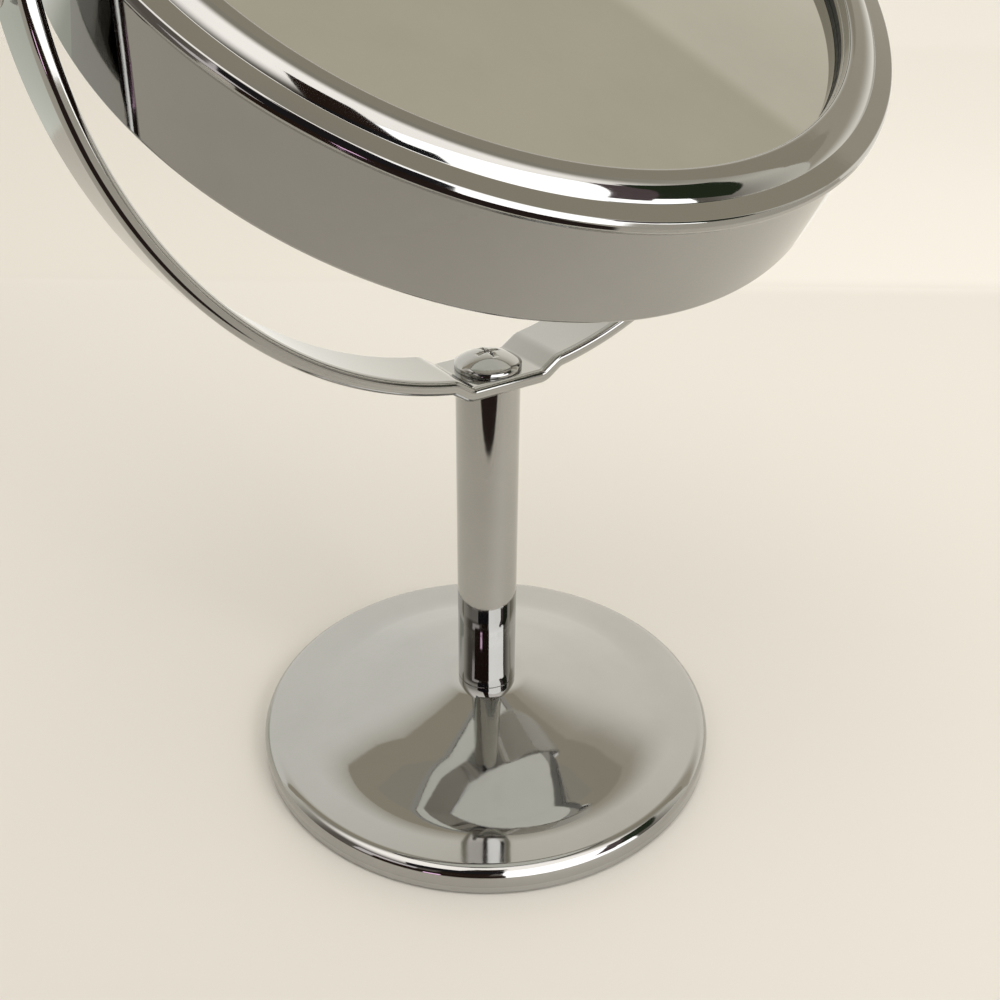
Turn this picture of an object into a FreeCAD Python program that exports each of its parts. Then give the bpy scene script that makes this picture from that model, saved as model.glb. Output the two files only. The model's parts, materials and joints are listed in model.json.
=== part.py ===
"""Tilting vanity mirror on a round weighted foot, built from its separate pieces.

Frame: the origin is the centre of the foot's underside, +Z is up, +X lies along the
tilt axis and -Y is the side that the mirror faces.  Lengths are in millimetres and
angles in degrees.

The stand is the foot, the post and the yoke.  The head turns in the yoke about two
shoulder screws.  Head pieces are drawn in the head's own frame, with the mirror's
axis as Z and the tilt axis as X, and are then leaned back and lifted to the pivot.
"""
import FreeCAD, Part
import math
import os
import re
import Sketcher

SIZES = {
    # Foot: a pressed dish over a weight, standing on a foam pad.
    "foot_radius": 51.5,
    "foot_sheet": 1.2,
    "rim_depth": 5.5,
    "rim_round": 2.7,
    "band_width": 11.0,
    "crease_round": 20.0,
    "bell_width": 12.5,
    "bell_rise": 4.1,
    "bell_round": 80.0,
    "dish_rise": 9.1,
    "land_margin": 2.0,
    "land_round": 10.0,
    "pad_thickness": 1.5,
    "pad_inset": 1.0,
    "pad_gap": 0.6,
    "weight_gap": 0.8,
    "weight_clearance": 0.3,
    "recess_play": 0.6,
    # Post: a tube with a threaded insert pressed into each end.
    "post_radius": 6.5,
    "post_wall": 1.0,
    "post_length": 72.9,
    "insert_length": 12.0,
    "insert_play": 0.02,
    # Screws of the stand, one up through the foot and one down through the yoke.
    "thread_radius": 2.5,
    "thread_play": 0.05,
    "thread_short": 2.0,
    "hole_play": 0.25,
    "pan_overhang": 2.0,
    "pan_height": 2.3,
    "pan_chamfer": 0.8,
    "pan_clearance": 0.2,
    "washer_overhang": 2.5,
    "washer_thickness": 0.8,
    "spring_overhang": 0.1,
    "spring_thickness": 1.0,
    "spring_split": 0.8,
    "truss_radius": 6.7,
    "truss_edge": 1.0,
    "truss_dome": 2.3,
    "drive_length": 5.2,
    "drive_width": 1.1,
    "drive_depth": 1.6,
    # Yoke: one flat bar with rounded edges, stepped down to a flat seat on the post.
    "yoke_gap": 3.75,
    "yoke_thickness": 3.0,
    "yoke_width": 15.5,
    "yoke_round": 1.2,
    "seat_margin": 1.9,
    "seat_drop": 1.43,
    "step_angle": 34.0,
    "step_bend": 3.0,
    # Head: a drawn drum, closed at the front by a bezel that is curled over its flange.
    "tilt_back": 56.82,
    "drum_margin": 6.6,
    "drum_flare": 0.9,
    "drum_sheet": 0.8,
    "drum_back": 12.9,
    "drum_round": 1.0,
    "back_cover": 1.5,
    "bezel_face": 8.2,
    "bezel_overhang": 1.35,
    "bezel_sheet": 0.8,
    "curl_round": 1.15,
    "curl_play": 0.05,
    "bead_offset": 1.9,
    "bead_radius": 2.1,
    "lip_cover": 1.6,
    "lip_drop": 0.5,
    "lip_chamfer": 0.25,
    # Glasses and what holds them apart inside the drum.
    "glass_radius": 62.5,
    "glass_thickness": 3.0,
    "glass_chamfer": 0.4,
    "dish_sag": 2.2,
    "foam_thickness": 1.5,
    "foam_width": 7.5,
    "foam_inset": 1.0,
    "core_play": 0.2,
    "core_rim": 1.8,
    "core_web": 2.0,
    "core_wall": 3.0,
    "fin_width": 1.6,
    "fin_pairs": 6,
    # Pivots: a shoulder screw each side, turning in the yoke between two washers.
    "shoulder_radius": 3.0,
    "pivot_clearance": 0.05,
    "bush_wall": 1.95,
    "nylon_overhang": 3.2,
    "nylon_thickness": 0.8,
    "nylon_sink": 0.2,
    "wave_overhang": 3.0,
    "wave_thickness": 0.6,
    "ring_play": 0.2,
    "run_gap": 0.1,
    "knob_overhang": 4.0,
    "knob_edge": 1.2,
    "knob_dome": 2.6,
    "slot_width": 1.2,
    "slot_depth": 1.0,
    "stud_radius": 2.0,
    "stud_play": 0.15,
    "nut_wall": 1.5,
    "nut_length": 3.2,
}

# What follows from the driving sizes, so that every piece reads the same value.
RELATIONS = {
    # heights over the table
    "rim_base": "pad_thickness - pad_inset",
    "deck_top": "rim_base + rim_depth",
    "deck_under": "deck_top - foot_sheet",
    "bell_top": "deck_top + bell_rise",
    "bell_under": "bell_top - foot_sheet",
    "land_top": "deck_top + dish_rise",
    "land_under": "land_top - foot_sheet",
    "pan_under": "pad_thickness + pan_clearance",
    "pan_seat": "pan_under + pan_height",
    "washer_under": "pan_seat + spring_thickness",
    "web_under": "washer_under + washer_thickness",
    "post_top": "land_top + post_length",
    "seat_top": "post_top + yoke_thickness",
    "pivot_height": "seat_top + seat_drop + yoke_radius",
    # radii and lengths of the stand
    "rim_bore": "foot_radius - foot_sheet",
    "crease_radius": "foot_radius - band_width",
    "bell_radius": "crease_radius - bell_width",
    "land_radius": "post_radius + land_margin",
    "post_bore": "post_radius - post_wall",
    "insert_radius": "post_bore - insert_play",
    "thread_hole": "thread_radius + thread_play",
    "thread_reach": "insert_length - thread_short",
    "screw_hole": "thread_radius + hole_play",
    "pan_radius": "thread_radius + pan_overhang",
    "washer_radius": "pan_radius + washer_overhang",
    "spring_radius": "pan_radius + spring_overhang",
    "seat_half": "truss_radius + seat_margin",
    "edge_round": "min(yoke_round, 0.45 * yoke_thickness)",
    # levels along the head's axis, counted from the tilt axis
    "drum_inside": "drum_sheet - drum_back",
    "flange_top": "bezel_face - bezel_sheet",
    "flange_under": "flange_top - drum_sheet",
    "curl_under": "flange_under - bezel_sheet",
    "front_glass_face": "bezel_face - lip_drop - bezel_sheet",
    "front_glass_back": "front_glass_face - glass_thickness",
    "core_front": "front_glass_back - foam_thickness",
    "rear_glass_back": "drum_inside + glass_thickness",
    "dish_ball": "(glass_radius ^ 2 + dish_sag ^ 2) / (2 * dish_sag)",
    "dish_middle": "rear_glass_back + dish_sag - dish_ball",
    "foam_seat": "dish_middle + sqrt(dish_ball ^ 2 - foam_inner ^ 2)",
    "core_rear": "foam_seat + foam_thickness",
    "web_middle": "(core_front + core_rear) / 2",
    # radii of the head
    "lip_radius": "glass_radius - lip_cover",
    "back_opening": "glass_radius - back_cover",
    "bead_middle": "glass_radius + bead_offset",
    "mouth_radius": "glass_radius + drum_margin",
    "mouth_bore": "mouth_radius - drum_sheet",
    "drum_radius": "mouth_radius + drum_flare",
    "bezel_radius": "mouth_radius + bezel_overhang",
    "curl_bore": "bezel_radius - bezel_sheet",
    "wall_slope": "drum_flare / (drum_back + flange_under)",
    "foam_outer": "glass_radius - foam_inset",
    "foam_inner": "foam_outer - foam_width",
    "core_bore": "glass_radius + core_play",
    "core_radius": "core_bore + core_rim",
    # positions along the tilt axis, and radii about it
    "wall_at_pivot": "mouth_radius + wall_slope * flange_under",
    "yoke_radius": "bezel_radius + yoke_gap",
    "arm_outside": "yoke_radius + yoke_thickness",
    "nylon_seat": "yoke_radius + nylon_sink",
    "bush_end": "nylon_seat - nylon_thickness - run_gap",
    "knob_seat": "arm_outside + wave_thickness + run_gap",
    "shoulder_end": "wall_at_pivot + wall_slope * shoulder_radius + curl_play",
    "nut_inside": "wall_at_pivot - drum_sheet - nut_length",
    "pivot_bore": "shoulder_radius + pivot_clearance",
    "bush_radius": "pivot_bore + bush_wall",
    "nylon_radius": "shoulder_radius + nylon_overhang",
    "wave_radius": "shoulder_radius + wave_overhang",
    "ring_bore": "shoulder_radius + ring_play",
    "knob_radius": "shoulder_radius + knob_overhang",
    "nut_flats": "2 * (stud_radius + nut_wall)",
}

# How far two computed lengths or directions may differ and still count as the same.
SAME = 1e-6

doc = FreeCAD.newDocument("vanity_mirror")
sheet = doc.addObject("Spreadsheet::Sheet", "sizes")
for row, (alias, number) in enumerate(SIZES.items(), start=1):
    sheet.set(f"A{row}", str(number))
    sheet.setAlias(f"A{row}", alias)
doc.recompute()


def bound(text):
    """An expression over the sheet's cells, from one that names sizes and relations."""
    def cell(match):
        word = match.group(0)
        if word in RELATIONS:
            return f"({bound(RELATIONS[word])})"
        if word in SIZES:
            return f"sizes.{word}"
        return word
    return re.sub(r"[a-z_]+", cell, text)


def value(text):
    return float(sheet.evalExpression(bound(text)))


def bind(thing, path, text):
    thing.setExpression(path, bound(text))


def new_body(name):
    body = doc.addObject("PartDesign::Body", name)
    body.Label = name
    return body


def plane_of(body, role):
    return next(plane for plane in body.Origin.OriginFeatures if plane.Role == role)


def new_sketch(body, name, role, offset=None):
    """A sketch on one of the body's own planes, moved along its normal by offset."""
    sketch = body.newObject("Sketcher::SketchObject", f"{body.Name}_{name}")
    sketch.AttachmentSupport = [(plane_of(body, role), "")]
    sketch.MapMode = "FlatFace"
    if offset:
        bind(sketch, "AttachmentOffset.Base.z", offset)
    return sketch


def constrain(sketch, kind, *where, text=None):
    """Add a constraint; one with a text takes its value from the sheet."""
    if text is None:
        return sketch.addConstraint(Sketcher.Constraint(kind, *where))
    index = sketch.addConstraint(Sketcher.Constraint(kind, *where, value(text)))
    sketch.setExpression(f"Constraints[{index}]", bound(text))
    return index


def pin(sketch, geometry, end, x, y):
    """Hold a point at x and y.  A coordinate marked ~ is only where it starts."""
    if not x.startswith("~"):
        constrain(sketch, "DistanceX", -1, 1, geometry, end, text=x)
    if not y.startswith("~"):
        constrain(sketch, "DistanceY", -1, 1, geometry, end, text=y)


def start_of(x, y):
    return FreeCAD.Vector(value(x.lstrip("~")), value(y.lstrip("~")), 0)


def corner(x, y, fillet=None):
    return {"x": x, "y": y, "fillet": fillet}


def arc(x, y, radius, clockwise=False):
    """The edge between the corners before and after it is this arc."""
    return {"centre": (x, y), "radius": radius, "clockwise": clockwise}


def circle_arc(centre, radius, begin, end, clockwise):
    """An arc from begin to end, with the vertex number that each of them gets."""
    circle = Part.Circle(centre, FreeCAD.Vector(0, 0, 1), radius)
    first = math.atan2(begin.y - centre.y, begin.x - centre.x)
    last = math.atan2(end.y - centre.y, end.x - centre.x)
    if clockwise:
        first, last = last, first
    if last <= first:
        last += 2 * math.pi
    return Part.ArcOfCircle(circle, first, last), (2, 1) if clockwise else (1, 2)


def outline(sketch, items):
    """A closed outline of straight edges and arcs between corners, some of them rounded."""
    corners = [item for item in items if "x" in item]
    arcs = {}
    for index, item in enumerate(items):
        if "centre" in item:
            arcs[sum("x" in before for before in items[:index]) - 1] = item
    count = len(corners)
    points = [start_of(item["x"], item["y"]) for item in corners]
    leave = list(points)
    arrive = list(points)
    rounds = {}
    for index, item in enumerate(corners):
        if not item["fillet"]:
            continue
        here = points[index]
        back = (points[index - 1] - here).normalize()
        ahead = (points[(index + 1) % count] - here).normalize()
        half = back.getAngle(ahead) / 2
        radius = value(item["fillet"])
        arrive[index] = here + back * (radius / math.tan(half))
        leave[index] = here + ahead * (radius / math.tan(half))
        centre = here + (back + ahead).normalize() * (radius / math.sin(half))
        turns_right = (ahead.x * back.y - ahead.y * back.x) < 0
        rounds[index] = circle_arc(centre, radius, arrive[index], leave[index], turns_right)
    edges = []
    for index in range(count):
        begin = leave[index]
        end = arrive[(index + 1) % count]
        if index in arcs:
            bend = arcs[index]
            radius = value(bend["radius"].lstrip("~"))
            shape, ends = circle_arc(start_of(*bend["centre"]), radius, begin, end, bend["clockwise"])
        else:
            shape, ends = Part.LineSegment(begin, end), (1, 2)
        edges.append((sketch.addGeometry(shape, False), ends))
    for index, item in enumerate(corners):
        before, before_ends = edges[index - 1]
        after, after_ends = edges[index]
        if index in rounds:
            shape, ends = rounds[index]
            bend = sketch.addGeometry(shape, False)
            mark = sketch.addGeometry(Part.Point(points[index]), True)
            constrain(sketch, "Tangent", before, before_ends[1], bend, ends[0])
            constrain(sketch, "Tangent", bend, ends[1], after, after_ends[0])
            constrain(sketch, "PointOnObject", mark, 1, before)
            constrain(sketch, "PointOnObject", mark, 1, after)
            constrain(sketch, "Radius", bend, text=item["fillet"])
            pin(sketch, mark, 1, item["x"], item["y"])
        else:
            constrain(sketch, "Coincident", before, before_ends[1], after, after_ends[0])
            pin(sketch, after, after_ends[0], item["x"], item["y"])
    for index, bend in arcs.items():
        pin(sketch, edges[index][0], 3, *bend["centre"])
        if not bend["radius"].startswith("~"):
            constrain(sketch, "Radius", edges[index][0], text=bend["radius"])


def ring(sketch, radius, x="0", y="0"):
    """A full circle."""
    shape = Part.Circle(start_of(x, y), FreeCAD.Vector(0, 0, 1), value(radius))
    index = sketch.addGeometry(shape, False)
    constrain(sketch, "Radius", index, text=radius)
    pin(sketch, index, 3, x, y)


def feature(body, kind, name, sketch):
    made = body.newObject(f"PartDesign::{kind}", f"{body.Name}_{name}")
    made.Profile = sketch
    sketch.Visibility = False
    return made


def turned(body, name, items, axis="V_Axis", kind="Revolution"):
    """A full turn of an outline in the XZ plane about Z, or about X for H_Axis."""
    sketch = new_sketch(body, name, "XZ_Plane")
    outline(sketch, items)
    made = feature(body, kind, name + "_turn", sketch)
    made.ReferenceAxis = (sketch, [axis])
    made.Angle = 360
    doc.recompute()
    return made


def tube(body, name, outer, inner, low, high, axis="V_Axis"):
    """A plain ring or disc, from its radii and its two ends."""
    if axis == "V_Axis":
        items = [corner(inner, low), corner(outer, low), corner(outer, high), corner(inner, high)]
    else:
        items = [corner(low, inner), corner(high, inner), corner(high, outer), corner(low, outer)]
    return turned(body, name, items, axis)


def cut_through(body, name, sketch):
    """Cut a sketch through the body to both sides, and prove that it cuts."""
    before = body.Shape.Volume
    made = feature(body, "Pocket", name, sketch)
    made.Type = "ThroughAll"
    made.Midplane = True
    doc.recompute()
    if body.Shape.Volume >= before:
        raise RuntimeError(f"{made.Name} cuts nothing")
    return made


def cut_down(body, name, sketch, depth, reverse=False, midplane=False):
    """Cut a sketch to a depth below its plane or about it, and prove that it cuts."""
    before = body.Shape.Volume
    made = feature(body, "Pocket", name, sketch)
    made.Reversed = reverse
    made.Midplane = midplane
    bind(made, "Length", depth)
    doc.recompute()
    if body.Shape.Volume >= before:
        raise RuntimeError(f"{made.Name} cuts nothing")
    return made


def repeat_about(body, made, axis, count, angle=360):
    """A polar pattern of one feature about one of the body's own axes."""
    pattern = body.newObject("PartDesign::PolarPattern", f"{made.Name}_pattern")
    pattern.Originals = [made]
    pattern.Axis = (plane_of(body, axis), [""])
    pattern.Angle = angle
    pattern.Occurrences = count
    body.Tip = pattern
    doc.recompute()
    return pattern


def slot(sketch, length, width):
    outline(sketch, [
        corner(f"-{length} / 2", f"-{width} / 2"),
        corner(f"{length} / 2", f"-{width} / 2"),
        corner(f"{length} / 2", f"{width} / 2"),
        corner(f"-{length} / 2", f"{width} / 2"),
    ])


def domed(apex, edge, radius):
    """Centre and radius of the arc from a shallow dome's edge to its apex on the turning axis."""
    rise = value(apex) - value(edge)
    ball = (value(radius) ** 2 + rise ** 2) / (2 * rise)
    return f"~{value(apex) - ball}", f"~{ball}"


# ---------------------------------------------------------------- the foot

def make_foot_shell():
    """Pressed dish: an upright rim, a flat ring and a bell in the middle under the post."""
    body = new_body("foot_shell")
    turned(body, "dish", [
        corner("foot_radius", "rim_base"),
        corner("foot_radius", "deck_top", "rim_round"),
        corner("crease_radius", "deck_top", "crease_round"),
        corner("bell_radius", "bell_top", "bell_round"),
        corner("land_radius", "land_top", "land_round"),
        corner("screw_hole", "land_top"),
        corner("screw_hole", "land_under"),
        corner("land_radius", "land_under", "land_round - foot_sheet"),
        corner("bell_radius", "bell_under", "bell_round - foot_sheet"),
        corner("crease_radius", "deck_under", "crease_round + foot_sheet"),
        corner("rim_bore", "deck_under", "rim_round - foot_sheet"),
        corner("rim_bore", "rim_base"),
    ])
    return body


def make_foot_weight():
    """Cast disc under the dish, with a recess below for the screw's head and washers."""
    body = new_body("foot_weight")
    recess = "washer_radius + recess_play"
    edge = "rim_bore - weight_gap"
    turned(body, "disc", [
        corner(recess, "pad_thickness"),
        corner(edge, "pad_thickness"),
        corner(edge, "deck_under", "rim_round - foot_sheet"),
        corner("crease_radius", "deck_under"),
        corner("crease_radius", "deck_under - weight_clearance"),
        corner("bell_radius", "bell_under - weight_clearance"),
        corner("land_radius", "land_under - weight_clearance"),
        corner("post_radius", "land_under - weight_clearance"),
        corner("post_radius", "land_under"),
        corner("screw_hole", "land_under"),
        corner("screw_hole", "web_under"),
        corner(recess, "web_under"),
    ])
    return body


def make_foot_pad():
    body = new_body("foot_pad")
    tube(body, "disc", "rim_bore - pad_gap", "0", "0", "pad_thickness")
    return body


def make_foot_screw():
    """Pan-head screw that draws the foot and the post together from below."""
    body = new_body("foot_screw")
    turned(body, "shape", [
        corner("0", "pan_under"),
        corner("pan_radius - pan_chamfer", "pan_under"),
        corner("pan_radius", "pan_under + pan_chamfer"),
        corner("pan_radius", "pan_seat"),
        corner("thread_radius", "pan_seat"),
        corner("thread_radius", "land_top + thread_reach"),
        corner("0", "land_top + thread_reach"),
    ])
    sketch = new_sketch(body, "drive", "XY_Plane", "pan_under")
    slot(sketch, "drive_length", "drive_width")
    cut = cut_down(body, "drive_slot", sketch, "drive_depth", reverse=True)
    repeat_about(body, cut, "Z_Axis", 2, 180)
    return body


def make_foot_washers():
    washer = new_body("foot_washer")
    tube(washer, "ring", "washer_radius", "screw_hole", "washer_under", "web_under")
    spring = new_body("foot_spring_washer")
    tube(spring, "ring", "spring_radius", "screw_hole", "pan_seat", "washer_under")
    sketch = new_sketch(spring, "split", "XY_Plane")
    outline(sketch, [
        corner("0", "-spring_split / 2"),
        corner("2 * spring_radius", "-spring_split / 2"),
        corner("2 * spring_radius", "spring_split / 2"),
        corner("0", "spring_split / 2"),
    ])
    cut_through(spring, "split_cut", sketch)
    return [washer, spring]


# ---------------------------------------------------------------- the post

def make_post():
    post = new_body("post_tube")
    tube(post, "wall", "post_radius", "post_bore", "land_top", "post_top")
    lower = new_body("lower_insert")
    tube(lower, "plug", "insert_radius", "thread_hole", "land_top", "land_top + insert_length")
    upper = new_body("upper_insert")
    tube(upper, "plug", "insert_radius", "thread_hole", "post_top - insert_length", "post_top")
    return [post, lower, upper]


# ---------------------------------------------------------------- the yoke

def yoke_path(body):
    """Centre line of the bar's right half: seat, step, large arc and upright end."""
    sketch = new_sketch(body, "path", "XZ_Plane")
    line = "yoke_radius + yoke_thickness / 2"
    level = "seat_top - yoke_thickness / 2"
    radius = value(line)
    bend = value("step_bend")
    angle = math.radians(value("step_angle"))
    pivot = FreeCAD.Vector(0, value("pivot_height"), 0)
    knee = FreeCAD.Vector(value("seat_half"), value(level), 0)
    along = FreeCAD.Vector(math.cos(angle), math.sin(angle), 0)
    below = FreeCAD.Vector(math.sin(angle), -math.cos(angle), 0)
    reach = bend * math.tan(angle / 2)
    low_centre = knee + FreeCAD.Vector(-reach, bend, 0)
    low_begin = knee + FreeCAD.Vector(-reach, 0, 0)
    low_end = knee + along * reach
    # The upper bend touches the step below it and the large arc beside it.
    start = knee + below * bend - pivot
    half = start.dot(along)
    run = -half - math.sqrt(half ** 2 - start.dot(start) + (radius + bend) ** 2)
    high_centre = pivot + start + along * run
    high_begin = high_centre - below * bend
    high_end = pivot + (high_centre - pivot).normalize() * radius
    side = FreeCAD.Vector(radius, pivot.y, 0)
    tip = FreeCAD.Vector(radius, pivot.y + value("yoke_width") / 2, 0)
    seat = sketch.addGeometry(Part.LineSegment(FreeCAD.Vector(0, knee.y, 0), low_begin), False)
    low, low_ends = circle_arc(low_centre, bend, low_begin, low_end, False)
    low = sketch.addGeometry(low, False)
    step = sketch.addGeometry(Part.LineSegment(low_end, high_begin), False)
    high, high_ends = circle_arc(high_centre, bend, high_begin, high_end, True)
    high = sketch.addGeometry(high, False)
    bow, bow_ends = circle_arc(pivot, radius, high_end, side, False)
    bow = sketch.addGeometry(bow, False)
    upright = sketch.addGeometry(Part.LineSegment(side, tip), False)
    mark = sketch.addGeometry(Part.Point(knee), True)
    pin(sketch, seat, 1, "0", level)
    constrain(sketch, "Horizontal", seat)
    constrain(sketch, "Tangent", seat, 2, low, low_ends[0])
    constrain(sketch, "Tangent", low, low_ends[1], step, 1)
    constrain(sketch, "Radius", low, text="step_bend")
    constrain(sketch, "PointOnObject", mark, 1, seat)
    constrain(sketch, "PointOnObject", mark, 1, step)
    constrain(sketch, "DistanceX", -1, 1, mark, 1, text="seat_half")
    turn = sketch.addConstraint(Sketcher.Constraint("Angle", -1, step, angle))
    sketch.setExpression(f"Constraints[{turn}]", bound("step_angle * 1 deg"))
    constrain(sketch, "Tangent", step, 2, high, high_ends[0])
    constrain(sketch, "Radius", high, text="step_bend")
    constrain(sketch, "Tangent", high, high_ends[1], bow, bow_ends[0])
    constrain(sketch, "Radius", bow, text=line)
    pin(sketch, bow, 3, "0", "pivot_height")
    constrain(sketch, "Tangent", bow, bow_ends[1], upright, 1)
    constrain(sketch, "Vertical", upright)
    constrain(sketch, "DistanceY", -1, 1, upright, 2, text="pivot_height + yoke_width / 2")
    return sketch


def long_edges(body):
    """Edges where the bar's broad faces meet its narrow sides and its rounded ends."""
    shape = body.Shape
    half = value("yoke_width") / 2

    def narrow(face):
        surface = face.Surface
        if isinstance(surface, Part.Plane):
            return abs(abs(surface.Axis.y) - 1) < SAME
        if isinstance(surface, Part.Cylinder):
            return abs(abs(surface.Axis.x) - 1) < SAME and abs(surface.Radius - half) < SAME
        return False

    names = []
    for number, edge in enumerate(shape.Edges, start=1):
        faces = shape.ancestorsOfType(edge, Part.Face)
        if sum(narrow(face) for face in faces) == 1:
            names.append(f"Edge{number}")
    return names


def make_yoke():
    """Flat bar bent to a half circle round the head, with a stepped seat for the post."""
    body = new_body("yoke")
    path = yoke_path(body)
    section = new_sketch(body, "section", "YZ_Plane")
    outline(section, [
        corner("-yoke_width / 2", "post_top"),
        corner("yoke_width / 2", "post_top"),
        corner("yoke_width / 2", "seat_top"),
        corner("-yoke_width / 2", "seat_top"),
    ])
    doc.recompute()
    sweep = feature(body, "AdditivePipe", "sweep", section)
    sweep.Spine = (path, [f"Edge{number + 1}" for number in range(6)])
    path.Visibility = False
    doc.recompute()
    mirror = body.newObject("PartDesign::Mirrored", "yoke_mirror")
    mirror.Originals = [sweep]
    mirror.MirrorPlane = (plane_of(body, "YZ_Plane"), [""])
    body.Tip = mirror
    doc.recompute()
    ends = new_sketch(body, "ends", "YZ_Plane")
    beyond = "pivot_height + yoke_width"
    outline(ends, [
        corner("~-yoke_width / 2", "pivot_height"),
        arc("0", "pivot_height", "yoke_width / 2", clockwise=True),
        corner("~yoke_width / 2", "pivot_height"),
        corner("yoke_width", "pivot_height"),
        corner("yoke_width", beyond),
        corner("-yoke_width", beyond),
        corner("-yoke_width", "pivot_height"),
    ])
    blank = cut_through(body, "ends_cut", ends)
    edges = long_edges(body)
    rounding = body.newObject("PartDesign::Fillet", "yoke_rounding")
    rounding.Base = (blank, edges)
    bind(rounding, "Radius", "edge_round")
    doc.recompute()
    # The bar still curves at the tilt axis, so each washer gets a flat seat sunk into it.
    seats = new_sketch(body, "seats", "YZ_Plane")
    ring(seats, "nylon_radius + ring_play", y="pivot_height")
    cut_down(body, "washer_seats", seats, "2 * nylon_seat", midplane=True)
    pivots = new_sketch(body, "pivots", "YZ_Plane")
    ring(pivots, "pivot_bore", y="pivot_height")
    cut_through(body, "pivot_holes", pivots)
    hole = new_sketch(body, "hole", "XY_Plane")
    ring(hole, "screw_hole")
    cut_through(body, "screw_hole_cut", hole)
    return body


def make_yoke_screw():
    """Domed screw down through the yoke's seat into the post."""
    body = new_body("yoke_screw")
    edge = "seat_top + truss_edge"
    apex = "seat_top + truss_edge + truss_dome"
    middle, ball = domed(apex, edge, "truss_radius")
    turned(body, "shape", [
        corner("0", "post_top - thread_reach"),
        corner("thread_radius", "post_top - thread_reach"),
        corner("thread_radius", "seat_top"),
        corner("truss_radius", "seat_top"),
        corner("truss_radius", edge),
        arc("0", middle, ball),
        corner("0", apex),
    ])
    sketch = new_sketch(body, "drive", "XY_Plane", apex)
    slot(sketch, "drive_length", "drive_width")
    cut = cut_down(body, "drive_slot", sketch, "drive_depth")
    repeat_about(body, cut, "Z_Axis", 2, 180)
    return body


# ---------------------------------------------------------------- the head

def place_head(body):
    """Lean a piece of the head back and lift it to the pivot."""
    body.Placement = FreeCAD.Placement(
        FreeCAD.Vector(0, 0, 0), FreeCAD.Rotation(FreeCAD.Vector(1, 0, 0), 1))
    bind(body, "Placement.Base.z", "pivot_height")
    bind(body, "Placement.Rotation.Angle", "(90 - tilt_back) * 1 deg")
    return body


def make_drum():
    """Drawn drum: the rear flange frames the rear glass, the front flange takes the bezel."""
    body = new_body("drum_housing")
    back = "-drum_back"
    turned(body, "wall", [
        corner("back_opening", back),
        corner("drum_radius", back, "drum_round"),
        corner("mouth_radius", "flange_under"),
        corner("curl_bore - curl_play", "flange_under"),
        corner("curl_bore - curl_play", "flange_top"),
        corner("mouth_bore", "flange_top"),
        corner("drum_radius - drum_sheet", "drum_inside"),
        corner("back_opening", "drum_inside"),
    ])
    sketch = new_sketch(body, "studs", "YZ_Plane")
    ring(sketch, "stud_radius + stud_play")
    cut_through(body, "stud_holes", sketch)
    return place_head(body)


def make_bezel():
    """Pressed front ring: glass lip, half-round bead, flat band and a curl over the drum's flange."""
    body = new_body("front_bezel")
    hollow = "bead_radius - bezel_sheet"
    turned(body, "section", [
        corner("lip_radius", "front_glass_face"),
        corner("lip_radius", "bezel_face - lip_drop - lip_chamfer"),
        corner("lip_radius + lip_chamfer", "bezel_face - lip_drop"),
        corner("~bead_middle - bead_radius", "bezel_face"),
        arc("bead_middle", "bezel_face", "bead_radius", clockwise=True),
        corner("~bead_middle + bead_radius", "bezel_face"),
        corner("bezel_radius", "bezel_face", "curl_round"),
        corner("bezel_radius", "curl_under", "curl_round"),
        corner("mouth_radius + curl_play", "curl_under"),
        corner("mouth_radius + curl_play", "flange_under"),
        corner("curl_bore", "flange_under"),
        corner("curl_bore", "flange_top"),
        corner(f"bead_middle + {hollow}", "flange_top"),
        corner(f"bead_middle + ({hollow}) / 2", f"bezel_face + {hollow}"),
        corner(f"bead_middle - ({hollow}) / 2", f"bezel_face + {hollow}"),
        corner("glass_radius + core_play / 2", "flange_top"),
        corner("glass_radius + core_play / 2", "front_glass_face"),
    ])
    return place_head(body)


def make_front_glass():
    """Flat mirror glass with a small bevel round its silvered back and its face."""
    body = new_body("front_glass")
    turned(body, "disc", [
        corner("0", "front_glass_back"),
        corner("glass_radius", "front_glass_back"),
        corner("glass_radius", "front_glass_face - glass_chamfer"),
        corner("glass_radius - glass_chamfer", "front_glass_face"),
        corner("0", "front_glass_face"),
    ])
    return place_head(body)


def make_rear_glass():
    """Magnifying glass: a dished disc, hollow towards the rear."""
    body = new_body("rear_glass")
    face, ball = domed("drum_inside + dish_sag", "drum_inside", "glass_radius")
    back, same = domed("rear_glass_back + dish_sag", "rear_glass_back", "glass_radius")
    turned(body, "disc", [
        corner("0", "drum_inside + dish_sag"),
        arc("0", face, ball, clockwise=True),
        corner("glass_radius", "drum_inside"),
        corner("glass_radius", "rear_glass_back"),
        arc("0", back, same),
        corner("0", "rear_glass_back + dish_sag"),
    ])
    return place_head(body)


def make_foam_rings():
    front = new_body("front_foam_ring")
    tube(front, "ring", "foam_outer", "foam_inner", "core_front", "front_glass_back")
    rear = new_body("rear_foam_ring")
    turned(rear, "ring", [
        corner("foam_inner", "~foam_seat"),
        arc("0", "dish_middle", "dish_ball", clockwise=True),
        corner("foam_outer", "~rear_glass_back"),
        corner("foam_outer", "core_rear"),
        corner("foam_inner", "core_rear"),
    ])
    return [place_head(front), place_head(rear)]


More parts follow.
